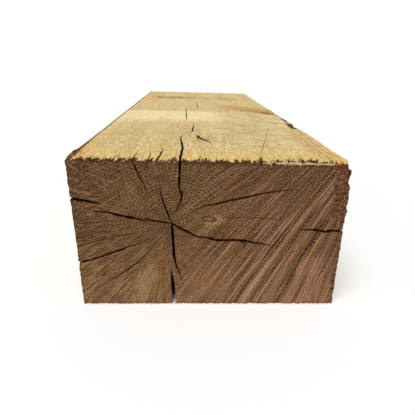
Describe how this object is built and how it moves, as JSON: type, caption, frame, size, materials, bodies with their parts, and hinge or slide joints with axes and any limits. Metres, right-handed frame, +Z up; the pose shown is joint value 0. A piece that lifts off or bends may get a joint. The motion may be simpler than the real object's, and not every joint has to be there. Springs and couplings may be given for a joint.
{
  "type": "railway sleeper",
  "caption": "Short length of sawn oak railway sleeper, rectangular in section, cross-cut at both ends, with shakes running out from its heart.",
  "frame": {"origin": "middle of the underside, halfway along the length", "axes": "+Z up, Y along the length with the split end at -Y, X across the width"},
  "size_m": [0.26, 0.8, 0.15],
  "materials": {
    "oak": "rough sawn, untreated"
  },
  "bodies": {
    "root": {"sleeper": "oak"}
  },
  "joints": []
}
